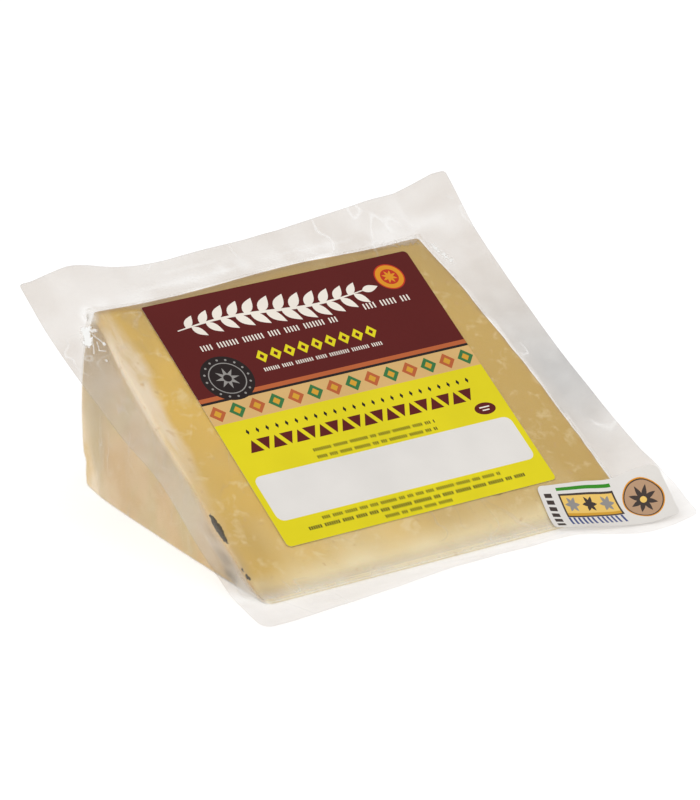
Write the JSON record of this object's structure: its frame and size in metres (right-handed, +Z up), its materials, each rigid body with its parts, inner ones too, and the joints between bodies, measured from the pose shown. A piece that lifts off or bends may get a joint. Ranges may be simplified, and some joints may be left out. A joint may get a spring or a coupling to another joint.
{
  "type": "packed cheese wedge",
  "caption": "Wedge of hard sheep's milk cheese cut from a wheel, sealed in a clear film pack with a wide flat margin, a square front label and a small corner sticker.",
  "frame": {"origin": "centre of the lower cut face, which the wedge rests on", "axes": "+X along the wedge's tip edge, to the right in the picture; +Y from the tip back to the rind; +Z up, away from the resting face"},
  "size_m": [0.1393, 0.1159, 0.0648],
  "materials": {
    "film_and_cheese": "clear glossy film over pale yellow cheese",
    "label_paper": "coated paper, dark red above and yellow below",
    "sticker_paper": "coated white paper"
  },
  "bodies": {
    "root": {"pack": "film_and_cheese", "front_label": "label_paper", "corner_sticker": "sticker_paper"}
  },
  "joints": []
}
